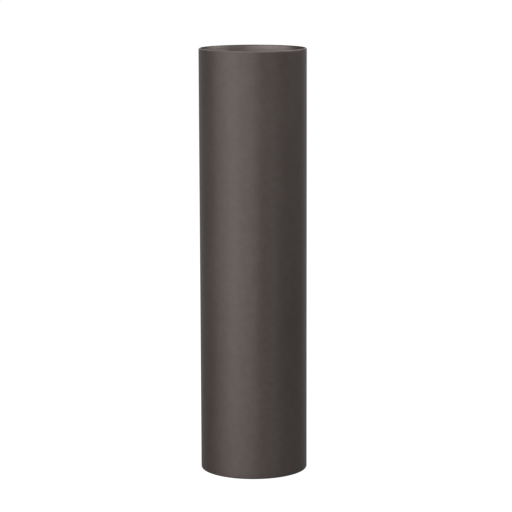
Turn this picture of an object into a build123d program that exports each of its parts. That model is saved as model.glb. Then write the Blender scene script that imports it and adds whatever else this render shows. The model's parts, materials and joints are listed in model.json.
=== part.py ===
from build123d import *
import math
import os

# Cylinder vase: one piece of moulded glass under a sprayed satin lacquer.
# Millimetres, +Z up. The origin is the centre of the underside, on the plane that the vase stands on.

# Glass
HEIGHT = 400.0              # standing plane to the lacquered crown of the rim
GLASS_DIAMETER = 100.5      # outside of the bare glass
WALL_THICKNESS = 2.4
BASE_THICKNESS = 9.0        # standing plane to the middle of the inside floor
FLOOR_DISH = 0.8            # rise of the inside floor from its middle to its edge
FLOOR_CORNER_RADIUS = 6.0   # between the inside floor and the wall
HEEL_RADIUS = 1.5           # outside edge of the base
PUSH_UP_DEPTH = 2.0         # hollow of the underside, inside the standing ring
STANDING_RING_WIDTH = 5.0   # flat ring that touches the table

# Lacquer
COAT_THICKNESS = 0.15
COAT_HEEL_ANGLE = 45.0      # how far round the heel it goes, below level
COAT_RIM_ANGLE = 10.0       # how far it goes over the rim, past the crown
BASE_COAT_MARGIN = 6.0      # bare glass between the standing ring and the lacquered push-up

# Worked out from the dimensions above
GLASS_RADIUS = GLASS_DIAMETER / 2
BORE_RADIUS = GLASS_RADIUS - WALL_THICKNESS
RIM_RADIUS = WALL_THICKNESS / 2
GLASS_TOP = HEIGHT - COAT_THICKNESS
RIM_CENTRE = (GLASS_RADIUS - RIM_RADIUS, GLASS_TOP - RIM_RADIUS)
HEEL_CENTRE = (GLASS_RADIUS - HEEL_RADIUS, HEEL_RADIUS)
PUSH_UP_EDGE = HEEL_CENTRE[0] - STANDING_RING_WIDTH
PUSH_UP_SPHERE = (PUSH_UP_EDGE**2 + PUSH_UP_DEPTH**2) / (2 * PUSH_UP_DEPTH)
PUSH_UP_CENTRE = (0.0, PUSH_UP_DEPTH - PUSH_UP_SPHERE)
BASE_COAT_EDGE = PUSH_UP_EDGE - BASE_COAT_MARGIN


def turned(edges):
    """Solid of revolution about Z of the closed outline that the edges make, drawn as (radius, height)."""
    outline = Plane.XZ * make_face(Wire(edges))
    return revolve(outline, Axis.Z, 360)


def push_up_arc(sphere_radius, edge_radius):
    """Arc of the hollow underside, from its edge inwards to the axis."""
    angle = math.degrees(math.asin(edge_radius / sphere_radius))
    return CenterArc(PUSH_UP_CENTRE, sphere_radius, 90 - angle, angle)


def make_glass_body():
    """The vase itself: thick base, straight wall, fire-polished round rim, shallow push-up underneath."""
    floor_edge = (BORE_RADIUS - FLOOR_CORNER_RADIUS, BASE_THICKNESS + FLOOR_DISH)
    wall_foot = (BORE_RADIUS, floor_edge[1] + FLOOR_CORNER_RADIUS)
    push_up = push_up_arc(PUSH_UP_SPHERE, PUSH_UP_EDGE)
    ring = Line(push_up @ 0, (HEEL_CENTRE[0], 0))
    heel = CenterArc(HEEL_CENTRE, HEEL_RADIUS, -90, 90)
    outside = Line(heel @ 1, (GLASS_RADIUS, RIM_CENTRE[1]))
    rim = CenterArc(RIM_CENTRE, RIM_RADIUS, 0, 180)
    inside = Line(rim @ 1, wall_foot)
    corner = TangentArc(wall_foot, floor_edge, tangent=(0, -1))
    floor = TangentArc((0, BASE_THICKNESS), floor_edge, tangent=(1, 0))
    axis = Line((0, BASE_THICKNESS), push_up @ 1)
    return turned([push_up, ring, heel, outside, rim, inside, corner, floor, axis])


def coat_side(offset):
    """One side of the wall lacquer, this far outside the glass: heel, wall and over the rim."""
    heel = CenterArc(HEEL_CENTRE, HEEL_RADIUS + offset, -COAT_HEEL_ANGLE, COAT_HEEL_ANGLE)
    rim = CenterArc(RIM_CENTRE, RIM_RADIUS + offset, 0, 90 + COAT_RIM_ANGLE)
    wall = Line(heel @ 1, rim @ 0)
    return [heel, wall, rim]


def make_wall_coat():
    """Satin lacquer on the outside of the glass, from the heel up and over the rim's crown."""
    glass_side = coat_side(0)
    air_side = coat_side(COAT_THICKNESS)
    heel_end = Line(glass_side[0] @ 0, air_side[0] @ 0)
    rim_end = Line(glass_side[-1] @ 1, air_side[-1] @ 1)
    return turned(glass_side + [rim_end] + air_side + [heel_end])


def make_base_coat():
    """The same lacquer in the push-up, clear of the bare ring that the vase stands on."""
    glass_side = push_up_arc(PUSH_UP_SPHERE, BASE_COAT_EDGE)
    air_side = push_up_arc(PUSH_UP_SPHERE - COAT_THICKNESS, BASE_COAT_EDGE)
    edge = Line(glass_side @ 0, air_side @ 0)
    axis = Line(glass_side @ 1, air_side @ 1)
    return turned([glass_side, axis, air_side, edge])


NODES = {
    "glass_body": make_glass_body,
    "wall_lacquer_coat": make_wall_coat,
    "base_lacquer_coat": make_base_coat,
}

os.makedirs("parts", exist_ok=True)
for name, make in NODES.items():
    export_step(make(), f"parts/{name}.step")
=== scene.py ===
import json
import math

import bpy
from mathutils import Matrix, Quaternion, Vector, noise


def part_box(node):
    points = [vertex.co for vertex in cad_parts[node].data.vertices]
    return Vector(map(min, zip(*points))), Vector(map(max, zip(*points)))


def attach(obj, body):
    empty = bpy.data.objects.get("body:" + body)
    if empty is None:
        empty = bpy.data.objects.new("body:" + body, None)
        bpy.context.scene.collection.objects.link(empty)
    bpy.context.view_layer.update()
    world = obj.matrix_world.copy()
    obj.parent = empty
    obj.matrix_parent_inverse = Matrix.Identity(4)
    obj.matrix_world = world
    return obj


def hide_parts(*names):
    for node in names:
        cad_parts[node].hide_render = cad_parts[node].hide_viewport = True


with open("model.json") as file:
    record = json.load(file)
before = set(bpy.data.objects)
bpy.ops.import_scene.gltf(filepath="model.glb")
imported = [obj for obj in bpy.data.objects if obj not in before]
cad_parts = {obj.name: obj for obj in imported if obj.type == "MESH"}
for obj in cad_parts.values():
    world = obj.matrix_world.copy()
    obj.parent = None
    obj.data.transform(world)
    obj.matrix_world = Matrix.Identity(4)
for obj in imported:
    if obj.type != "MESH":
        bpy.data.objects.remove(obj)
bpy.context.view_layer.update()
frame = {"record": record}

MM = 0.001

# ---------------------------------------------------------------- camera

CAMERA_DISTANCE = 2009.8 * MM      # level distance from the vase's axis
CAMERA_HEIGHT = 525.7 * MM
CAMERA_PITCH = 9.097               # degrees below level
CAMERA_YAW = 0.071                 # degrees to the right of the axis
CAMERA_ROLL = -0.186               # degrees
CAMERA_LENS = 151.55               # focal length, millimetres
SENSOR_WIDTH = 36.0                # millimetres


def make_camera():
    """A long lens in front of the vase, a little above its rim, looking slightly down."""
    data = bpy.data.cameras.new("camera")
    data.lens = CAMERA_LENS
    data.sensor_width = SENSOR_WIDTH
    camera = bpy.data.objects.new("camera", data)
    bpy.context.scene.collection.objects.link(camera)
    camera.location = (0.0, -CAMERA_DISTANCE, CAMERA_HEIGHT)
    pitch, yaw = math.radians(CAMERA_PITCH), math.radians(CAMERA_YAW)
    level = math.cos(pitch)
    forward = Vector((math.sin(yaw) * level, math.cos(yaw) * level, -math.sin(pitch)))
    roll = Quaternion((0, 0, 1), math.radians(CAMERA_ROLL))
    camera.rotation_mode = "QUATERNION"
    camera.rotation_quaternion = forward.to_track_quat("-Z", "Y") @ roll
    bpy.context.scene.camera = camera


make_camera()

# ---------------------------------------------------------------- sizes

glass_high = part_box("glass_body")[1]
coat_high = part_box("wall_lacquer_coat")[1]
base_coat_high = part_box("base_lacquer_coat")[1]
mounts = {m["name"]: m for m in frame["record"]["mounts"]}

GLASS_RADIUS = glass_high.x
TOP = glass_high.z
COAT = coat_high.z - glass_high.z
BORE_RADIUS = mounts["open_top"]["dims"]["r_mm"] * MM
RIM_RADIUS = (GLASS_RADIUS - BORE_RADIUS) / 2
RING_MIDDLE = mounts["standing_ring"]["pos_m"][0]
BASE_COAT_RADIUS = base_coat_high.x

# The frame doesn't give these, so they repeat the CAD model's dimensions
RING_WIDTH = 5.0 * MM
PUSH_UP_DEPTH = 2.0 * MM
FLOOR_MIDDLE = 9.0 * MM      # height of the inside floor at the axis
FLOOR_EDGE = 9.8 * MM        # and where its corner starts
FLOOR_CORNER = 6.0 * MM      # radius between the inside floor and the wall
COAT_HEEL_ANGLE = 45         # degrees round the heel, below level
COAT_RIM_ANGLE = 10          # degrees over the rim, past its crown

HEEL_RADIUS = GLASS_RADIUS - RING_MIDDLE - RING_WIDTH / 2
HEEL_CENTRE = (GLASS_RADIUS - HEEL_RADIUS, HEEL_RADIUS)
RIM_CENTRE = (GLASS_RADIUS - RIM_RADIUS, TOP - RIM_RADIUS)
RING_INNER = RING_MIDDLE - RING_WIDTH / 2
RING_OUTER = RING_MIDDLE + RING_WIDTH / 2

# ---------------------------------------------------------------- meshes

SEGMENTS = 384               # round the vase
WALL_STEP = 5.0 * MM         # between points up the wall
ARC_STEP = 9.0               # degrees between points on small arcs
DISC_STEP = 3.0 * MM         # between points across the floor and the push-up
RING_STEP = 0.5 * MM         # between points across the standing ring
SAME_POINT = 0.001 * MM      # closer points of an outline are one
ON_AXIS = 0.0001 * MM        # a smaller radius is on the axis


def arc(centre, radius, start, end, step=ARC_STEP):
    """Points of an arc as (radius from the axis, height), both ends included."""
    count = max(2, round(abs(end - start) / step))
    angles = [math.radians(start + (end - start) * i / count) for i in range(count + 1)]
    return [(centre[0] + radius * math.cos(a), centre[1] + radius * math.sin(a)) for a in angles]


def run(start, end, step):
    """Points of a straight run, both ends included."""
    length = math.hypot(end[0] - start[0], end[1] - start[1])
    count = max(1, round(length / step))
    return [tuple(a + (b - a) * i / count for a, b in zip(start, end)) for i in range(count + 1)]


def dome(middle, edge, edge_radius, radius):
    """Height at a radius of a shallow dome that is level at the axis."""
    return middle + (edge - middle) * (radius / edge_radius) ** 2


def joined(*stretches):
    """One outline from several stretches, without the doubled points where they meet."""
    points = []
    for stretch in stretches:
        for point in stretch:
            if not points or math.dist(point, points[-1]) > SAME_POINT:
                points.append(point)
    return points


def lathe(name, outline, closed, shape):
    """Mesh that an outline of (radius, height) points makes when turned about Z.
    Closed joins its last point to its first. A point on the axis becomes a single vertex, and
    shape gives the place of every other vertex."""
    verts, faces, rings = [], [], []
    for radius, height in outline:
        if radius < ON_AXIS:
            rings.append([len(verts)] * SEGMENTS)
            verts.append((0.0, 0.0, height))
            continue
        rings.append(list(range(len(verts), len(verts) + SEGMENTS)))
        for i in range(SEGMENTS):
            angle = 2 * math.pi * i / SEGMENTS
            verts.append(shape(radius, angle, height))
    pairs = list(zip(rings, rings[1:]))
    if closed:
        pairs.append((rings[-1], rings[0]))
    for lower, upper in pairs:
        for i in range(SEGMENTS):
            j = (i + 1) % SEGMENTS
            corners = [lower[i], lower[j], upper[j], upper[i]]
            corners = [c for k, c in enumerate(corners) if c != corners[k - 1]]
            if len(corners) > 2:
                faces.append(corners)
    mesh = bpy.data.meshes.new(name)
    mesh.from_pydata(verts, [], faces)
    mesh.validate()
    for polygon in mesh.polygons:
        polygon.use_smooth = True
    piece = bpy.data.objects.new(name, mesh)
    bpy.context.scene.collection.objects.link(piece)
    return piece


# ---------------------------------------------------------------- what the moulding leaves in the glass

OUTER_WAVE = 0.03 * MM       # slow waviness of the outside, the same for glass and lacquer
INNER_WAVE = 0.10 * MM       # the inside was shaped by air, so it is less even
RIM_WAVE = 0.06 * MM         # the fire-polished rim isn't quite level
RIM_DEPTH = 12 * MM          # how far down from the crown that reaches

# Each as wavelength round the vase, wavelength up it, seed
OUTER_PATTERN = (30 * MM, 90 * MM, 3.1)
INNER_PATTERN = (14 * MM, 60 * MM, 11.7)
RIM_PATTERN = (25 * MM, 1, 7.3)      # taken at height 0, so it has no waves up the vase

# The waviness sets in between these radii and these heights, so the base stays true
WAVY_RADII = (0.7 * BORE_RADIUS, 0.95 * BORE_RADIUS)
WAVY_HEIGHTS = (2 * MM, 12 * MM)

RIBS = 96                    # fine ribs round the standing ring
RIB_HEIGHT = 0.12 * MM
ON_TABLE = 0.01 * MM         # a lower point is on the standing plane


def slow_noise(radius, angle, height, around, up, seed):
    """Smooth noise of about -1 to 1, with waves of the given lengths round the vase and up it."""
    x = radius * math.cos(angle) / around
    y = radius * math.sin(angle) / around
    return noise.noise(Vector((x + seed, y + seed, height / up + seed)))


def smooth_step(low, high, value):
    """0 below low, 1 above high, and a smooth change between them."""
    t = min(1.0, max(0.0, (value - low) / (high - low)))
    return t * t * (3 - 2 * t)


def wavy(radius, angle, height):
    """A vertex of the turned shape, with the small waviness of moulded glass."""
    outside = smooth_step(BORE_RADIUS, GLASS_RADIUS, radius)
    outer = OUTER_WAVE * slow_noise(radius, angle, height, *OUTER_PATTERN)
    inner = INNER_WAVE * slow_noise(radius, angle, height, *INNER_PATTERN)
    on_wall = smooth_step(*WAVY_RADII, radius)
    on_wall *= smooth_step(*WAVY_HEIGHTS, height)
    r = radius + on_wall * (outside * outer + (1 - outside) * inner)
    near_rim = smooth_step(TOP - RIM_DEPTH, TOP, height)
    z = height - near_rim * RIM_WAVE * (1 + slow_noise(radius, angle, 0, *RIM_PATTERN)) / 2
    return (r * math.cos(angle), r * math.sin(angle), z)


def ribbed(radius, angle, height):
    """The same, with fine ribs pressed into the standing ring. Their crests touch the table."""
    x, y, z = wavy(radius, angle, height)
    if height < ON_TABLE and RING_INNER < radius < RING_OUTER:
        across = math.sin(math.pi * (radius - RING_INNER) / RING_WIDTH)
        trough = 0.5 - 0.5 * math.cos(RIBS * angle)
        z += RIB_HEIGHT * across * trough
    return (x, y, z)


# ---------------------------------------------------------------- outlines of the pieces

def glass_outline():
    """The glass section, from the middle of the underside round to the middle of the inside floor."""
    push_up = [
        (r, dome(PUSH_UP_DEPTH, 0, RING_INNER, r))
        for r, _ in run((0, 0), (RING_INNER, 0), DISC_STEP)
    ]
    ring = run((RING_INNER, 0), (RING_OUTER, 0), RING_STEP)
    heel = arc(HEEL_CENTRE, HEEL_RADIUS, -90, 0)
    outside = run(heel[-1], (GLASS_RADIUS, RIM_CENTRE[1]), WALL_STEP)
    rim = arc(RIM_CENTRE, RIM_RADIUS, 0, 180)
    corner_centre = (BORE_RADIUS - FLOOR_CORNER, FLOOR_EDGE + FLOOR_CORNER)
    inside = run((BORE_RADIUS, RIM_CENTRE[1]), (BORE_RADIUS, corner_centre[1]), WALL_STEP)
    corner = arc(corner_centre, FLOOR_CORNER, 0, -90)
    floor = [
        (r, dome(FLOOR_MIDDLE, FLOOR_EDGE, corner_centre[0], r))
        for r, _ in run((corner_centre[0], 0), (0, 0), DISC_STEP)
    ]
    return joined(push_up, ring, heel, outside, rim, inside, corner, floor)


def coat_side(offset):
    """One side of the wall lacquer, offset from the glass."""
    heel = arc(HEEL_CENTRE, HEEL_RADIUS + offset, -COAT_HEEL_ANGLE, 0)
    rim = arc(RIM_CENTRE, RIM_RADIUS + offset, 0, 90 + COAT_RIM_ANGLE)
    return joined(heel, run(heel[-1], rim[0], WALL_STEP), rim)


def wall_coat_outline():
    """Closed section of the wall lacquer."""
    return coat_side(COAT) + coat_side(0)[::-1]


def base_coat_outline():
    """Section of the lacquer disc in the push-up, from the middle of its face to the middle of its back."""
    radii = [r for r, _ in run((0, 0), (BASE_COAT_RADIUS, 0), DISC_STEP)]
    air_side = [(r, dome(PUSH_UP_DEPTH, 0, RING_INNER, r) - COAT) for r in radii]
    glass_side = [(r, z + COAT) for r, z in air_side]
    return air_side + glass_side[::-1]


# ---------------------------------------------------------------- materials

# Sockets of the Mix node that share a name with others, so they go by number
MIX_NUMBERS = (2, 3)
MIX_COLORS = (6, 7)
MIX_COLOR_RESULT = 2


class Nodes:
    """Short ways to add and link the shader nodes of one material."""

    def __init__(self, name):
        self.material = bpy.data.materials.new(name)
        self.material.use_nodes = True
        self.tree = self.material.node_tree
        self.shader = self.tree.nodes["Principled BSDF"]
        self.place = self.add("ShaderNodeTexCoord").outputs["Object"]

    def add(self, kind, **settings):
        node = self.tree.nodes.new(kind)
        for key, value in settings.items():
            setattr(node, key, value)
        return node

    def link(self, source, target):
        self.tree.links.new(source, target)

    def set(self, **values):
        for key, value in values.items():
            self.shader.inputs[key.replace("_", " ")].default_value = value

    def noise(self, size, detail=2.0, roughness=0.5, stretch=(1, 1, 1), shift=0.0):
        """Noise of about 0 to 1 whose features are size metres apart."""
        mapping = self.add("ShaderNodeMapping")
        mapping.inputs["Location"].default_value = (shift, shift, shift)
        mapping.inputs["Scale"].default_value = stretch
        self.link(self.place, mapping.inputs["Vector"])
        texture = self.add("ShaderNodeTexNoise")
        texture.inputs["Scale"].default_value = 1 / size
        texture.inputs["Detail"].default_value = detail
        texture.inputs["Roughness"].default_value = roughness
        self.link(mapping.outputs["Vector"], texture.inputs["Vector"])
        return texture.outputs["Fac"]

    def fleck(self, size):
        """A random number of 0 to 1 for each small cell, as flakes in a metallic paint."""
        texture = self.add("ShaderNodeTexVoronoi")
        texture.inputs["Scale"].default_value = 1 / size
        self.link(self.place, texture.inputs["Vector"])
        split = self.add("ShaderNodeSeparateColor")
        self.link(texture.outputs["Color"], split.inputs["Color"])
        return split.outputs["Red"]

    def ramp(self, value, low, high, to_low, to_high, smooth=True):
        """Map low..high to to_low..to_high, held beyond both ends."""
        node = self.add("ShaderNodeMapRange")
        node.interpolation_type = "SMOOTHSTEP" if smooth else "LINEAR"
        node.inputs["From Min"].default_value = low
        node.inputs["From Max"].default_value = high
        node.inputs["To Min"].default_value = to_low
        node.inputs["To Max"].default_value = to_high
        self.link(value, node.inputs["Value"])
        return node.outputs["Result"]

    def spread(self, noise, to_low, to_high):
        """Map the middle of a noise's range, where most of it lies, to to_low..to_high."""
        return self.ramp(noise, 0.3, 0.7, to_low, to_high)

    def patches(self, noise):
        """Patches of 0 and 1 with soft edges, from a noise."""
        return self.ramp(noise, 0.4, 0.6, 0.0, 1.0)

    def math(self, operation, a, b):
        node = self.add("ShaderNodeMath", operation=operation)
        self.link(a, node.inputs[0])
        self.link(b, node.inputs[1])
        return node.outputs["Value"]

    def total(self, *values):
        """The sum of several values."""
        result = values[0]
        for value in values[1:]:
            result = self.math("ADD", result, value)
        return result

    def mix(self, factor, first, second):
        """The colour first where factor is 0 and second where it is 1."""
        node = self.add("ShaderNodeMix", data_type="RGBA")
        self.link(factor, node.inputs["Factor"])
        for index, value in zip(MIX_COLORS, (first, second)):
            if isinstance(value, tuple):
                node.inputs[index].default_value = (*value, 1)
            else:
                self.link(value, node.inputs[index])
        return node.outputs[MIX_COLOR_RESULT]

    def blend(self, factor, first, second):
        """The number first where factor is 0 and second where it is 1."""
        node = self.add("ShaderNodeMix", data_type="FLOAT")
        self.link(factor, node.inputs["Factor"])
        for index, value in zip(MIX_NUMBERS, (first, second)):
            self.link(value, node.inputs[index])
        return node.outputs["Result"]

    def height(self):
        """Height above the table."""
        split = self.add("ShaderNodeSeparateXYZ")
        self.link(self.place, split.inputs["Vector"])
        return split.outputs["Z"]

    def bump(self, height, distance, below=None):
        """Bump whose full height is distance metres, on top of another bump."""
        node = self.add("ShaderNodeBump")
        node.inputs["Strength"].default_value = 1.0
        node.inputs["Distance"].default_value = distance
        self.link(height, node.inputs["Height"])
        if below:
            self.link(below, node.inputs["Normal"])
        return node.outputs["Normal"]


LACQUER_DARK = (0.107, 0.0887, 0.0822)
LACQUER_LIGHT = (0.137, 0.1138, 0.1056)
# painted highlight: the lighter lacquer colour of patches round the rim
LACQUER_RIM_HIGHLIGHT = (0.190, 0.160, 0.149)
CLOUD_SIZE = 60 * MM
SPRAY_SIZE = 6 * MM
FLAKE_SIZE = 0.6 * MM
RIM_HIGHLIGHT_SIZE = 40 * MM
RIM_HIGHLIGHT_SHIFT = 0.86            # sets where round the rim the painted highlights lie
PEEL_SIZE = 2.6 * MM
PEEL_HEIGHT = 0.008 * MM
GRAIN_SIZE = 0.6 * MM
GRAIN_HEIGHT = 0.004 * MM


def satin_lacquer(name):
    """Sprayed taupe lacquer with a fine metallic pigment and a faint orange peel, and painted highlights in
    lighter patches round the rim.
    """
    m = Nodes(name)
    clouds = m.noise(CLOUD_SIZE, 3.0, 0.55, (1, 1, 0.6))
    spray = m.noise(SPRAY_SIZE, 2.0)
    flakes = m.fleck(FLAKE_SIZE)
    tone = m.total(
        m.spread(clouds, 0.0, 0.4),
        m.spread(spray, 0.0, 0.3),
        m.ramp(flakes, 0, 1, 0.0, 0.3, smooth=False),
    )
    sprayed = m.mix(tone, LACQUER_DARK, LACQUER_LIGHT)
    on_rim = m.ramp(m.height(), TOP - 1.3 * RIM_RADIUS, TOP - 0.9 * RIM_RADIUS, 0.0, 1.0)
    # painted highlight: lighter patches of lacquer round the rim's crown
    rim_highlight_patches = m.patches(m.noise(RIM_HIGHLIGHT_SIZE, 1.0, shift=RIM_HIGHLIGHT_SHIFT))
    color = m.mix(m.math("MULTIPLY", on_rim, rim_highlight_patches), sprayed, LACQUER_RIM_HIGHLIGHT)
    m.link(color, m.shader.inputs["Base Color"])
    rough = m.total(
        m.spread(clouds, 0.43, 0.47),
        m.ramp(flakes, 0, 1, -0.02, 0.02, smooth=False),
    )
    m.link(rough, m.shader.inputs["Roughness"])
    m.set(Metallic=0.75)
    peel = m.bump(m.noise(PEEL_SIZE, 1.0), PEEL_HEIGHT)
    grain = m.bump(m.noise(GRAIN_SIZE, 2.0), GRAIN_HEIGHT, peel)
    m.link(grain, m.shader.inputs["Normal"])
    return m.material


# painted shade and painted reflection: a darker and a lighter copy of the lacquer seen through the glass
BACKED_PAINTED_SHADE = (0.305, 0.267, 0.252)
BACKED_PAINTED_LIGHT = (0.436, 0.382, 0.361)
BARE_RIM = (0.130, 0.112, 0.105)
BARE_FOOT = (0.175, 0.180, 0.172)
BACKED_SIZE = 40 * MM
BACKED_SHIFT = 3.65          # sets where on the vase the painted reflection and painted shade lie
FOOT_FULL = 2 * MM           # below this height the glass is frosted
FOOT_TOP = 3 * MM            # and above this one it isn't
FROST_SIZE = 1.5 * MM
RIPPLE_SIZE = 9 * MM
RIPPLE_HEIGHT = 0.01 * MM


def lacquer_backed_glass(name):
    """Glass with the opaque lacquer behind it, with lighter and darker patches of painted reflection and
    painted shade. The rim's inner half and the foot are bare.
    """
    m = Nodes(name)
    clouds = m.noise(BACKED_SIZE, 1.0, 0.5, (1, 1, 0.5), BACKED_SHIFT)
    # painted reflection and painted shade: lighter and darker patches over the lacquer-backed glass
    backed = m.mix(m.patches(clouds), BACKED_PAINTED_SHADE, BACKED_PAINTED_LIGHT)
    on_rim = m.ramp(m.height(), TOP - RIM_RADIUS, TOP - 0.6 * RIM_RADIUS, 0.0, 1.0)
    on_foot = m.ramp(m.height(), FOOT_TOP, FOOT_FULL, 0.0, 1.0)
    bare = m.mix(on_rim, backed, BARE_RIM)
    color = m.mix(on_foot, bare, BARE_FOOT)
    m.link(color, m.shader.inputs["Base Color"])
    polish = m.spread(clouds, 0.40, 0.44)
    frosted = m.spread(m.noise(FROST_SIZE, 2.0), 0.22, 0.38)
    rough = m.blend(on_foot, polish, frosted)
    m.link(rough, m.shader.inputs["Roughness"])
    m.set(Metallic=0.9, Specular_Tint=(0, 0, 0, 1))
    ripple = m.bump(m.noise(RIPPLE_SIZE, 1.0, 0.5, (1, 1, 0.35)), RIPPLE_HEIGHT)
    m.link(ripple, m.shader.inputs["Normal"])
    return m.material


def placed(piece, node, material):
    """Give a new piece its material and its place in the model."""
    piece.data.materials.append(material)
    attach(piece, "root")
    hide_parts(node)


lacquer = satin_lacquer("satin_lacquer")

placed(
    lathe("vase_glass", glass_outline(), False, ribbed),
    "glass_body", lacquer_backed_glass("lacquer_backed_glass"),
)
placed(
    lathe("wall_lacquer", wall_coat_outline(), True, wavy),
    "wall_lacquer_coat", lacquer,
)
placed(
    lathe("base_lacquer", base_coat_outline(), False, wavy),
    "base_lacquer_coat", lacquer,
)

# ---------------------------------------------------------------- stage and light

LIGHT_AIM = Vector((0, 0, 0.2))      # the middle of the vase


def area_light(name, azimuth, elevation, distance, width, height, radiance):
    """A soft box that faces the vase. Azimuth 0 is the camera's side and 90 is +X."""
    data = bpy.data.lights.new(name, "AREA")
    data.shape = "RECTANGLE"
    data.size = width
    data.size_y = height
    data.energy = radiance * width * height * math.pi
    lamp = bpy.data.objects.new(name, data)
    bpy.context.scene.collection.objects.link(lamp)
    a, e = math.radians(azimuth), math.radians(elevation)
    towards = Vector((math.sin(a) * math.cos(e), -math.cos(a) * math.cos(e), math.sin(e)))
    lamp.location = LIGHT_AIM + towards * distance
    lamp.rotation_mode = "QUATERNION"
    lamp.rotation_quaternion = towards.to_track_quat("Z", "Y")
    lamp.visible_camera = False


SOFT_BOXES = (
    # name, azimuth and elevation in degrees, distance, width and height in metres, radiance
    ("key", -60, 10, 1.3, 1.3, 1.7, 0.8),
    ("key_high", -30, 38, 1.4, 1.1, 0.9, 1.4),
    ("key_low", -30, -10, 1.3, 1.0, 0.8, 1.0),
    ("front_strip", 0, 8, 1.3, 0.5, 1.6, 0.9),
    ("right_strip", 40, 8, 1.3, 0.5, 1.6, 0.5),
    ("right_high", 100, 38, 1.4, 1.1, 0.9, 2.2),
    ("back_right_strip", 150, 8, 1.6, 0.4, 1.7, 0.35),
    ("back_left_strip", -150, 8, 1.6, 0.4, 1.7, 0.3),
    ("back_high", 180, 38, 1.4, 1.1, 0.9, 1.0),
    ("top_left", -100, 65, 1.5, 0.8, 0.8, 2.3),
    ("top_back", 140, 65, 1.5, 0.8, 0.8, 1.3),
)

for box in SOFT_BOXES:
    area_light(*box)


WORLD_ABOVE = 0.26           # grey level of the light from above
WORLD_BELOW = 0.22           # and from below
WORLD_CHANGE = (-0.5, 0.3)   # sine of the elevation where the change between them starts and ends


def studio_world():
    """Even grey light, with a little less of it from below the vase."""
    world = bpy.data.worlds.new("studio")
    bpy.context.scene.world = world
    world.use_nodes = True
    tree = world.node_tree
    place = tree.nodes.new("ShaderNodeTexCoord")
    split = tree.nodes.new("ShaderNodeSeparateXYZ")
    level = tree.nodes.new("ShaderNodeMapRange")
    level.interpolation_type = "SMOOTHSTEP"
    level.inputs["From Min"].default_value = WORLD_CHANGE[0]
    level.inputs["From Max"].default_value = WORLD_CHANGE[1]
    level.inputs["To Min"].default_value = WORLD_BELOW
    level.inputs["To Max"].default_value = WORLD_ABOVE
    tree.links.new(place.outputs["Generated"], split.inputs["Vector"])
    tree.links.new(split.outputs["Z"], level.inputs["Value"])
    tree.links.new(level.outputs["Result"], tree.nodes["Background"].inputs["Color"])


studio_world()
bpy.context.scene.view_settings.view_transform = "Standard"

STAGE_RADIUS = 6.0
STAGE_HEIGHT = 5.0
STAGE_BEND = 2.0             # radius between the floor and the wall
STAGE_STEP = 0.5
STAGE_ARC_STEP = 6           # degrees
STAGE_GREY = 0.15
STAGE_GLOW = 0.96            # its own light, so that it is evenly pale


def make_stage():
    """A pale round sweep: a level floor that curves up into a wall all round."""
    outline = joined(
        run((0, 0), (STAGE_RADIUS - STAGE_BEND, 0), STAGE_STEP),
        arc((STAGE_RADIUS - STAGE_BEND, STAGE_BEND), STAGE_BEND, -90, 0, STAGE_ARC_STEP),
        run((STAGE_RADIUS, STAGE_BEND), (STAGE_RADIUS, STAGE_HEIGHT), STAGE_STEP),
    )
    sweep = lathe("floor", outline, False, lambda r, a, z: (r * math.cos(a), r * math.sin(a), z))
    m = Nodes("pale_sweep")
    m.set(Base_Color=(STAGE_GREY, STAGE_GREY, STAGE_GREY, 1), Roughness=0.9)
    m.set(Emission_Color=(1, 1, 1, 1), Emission_Strength=STAGE_GLOW)
    sweep.data.materials.append(m.material)
    sweep.visible_glossy = False
    sweep.visible_diffuse = False
    sweep.visible_shadow = False


make_stage()
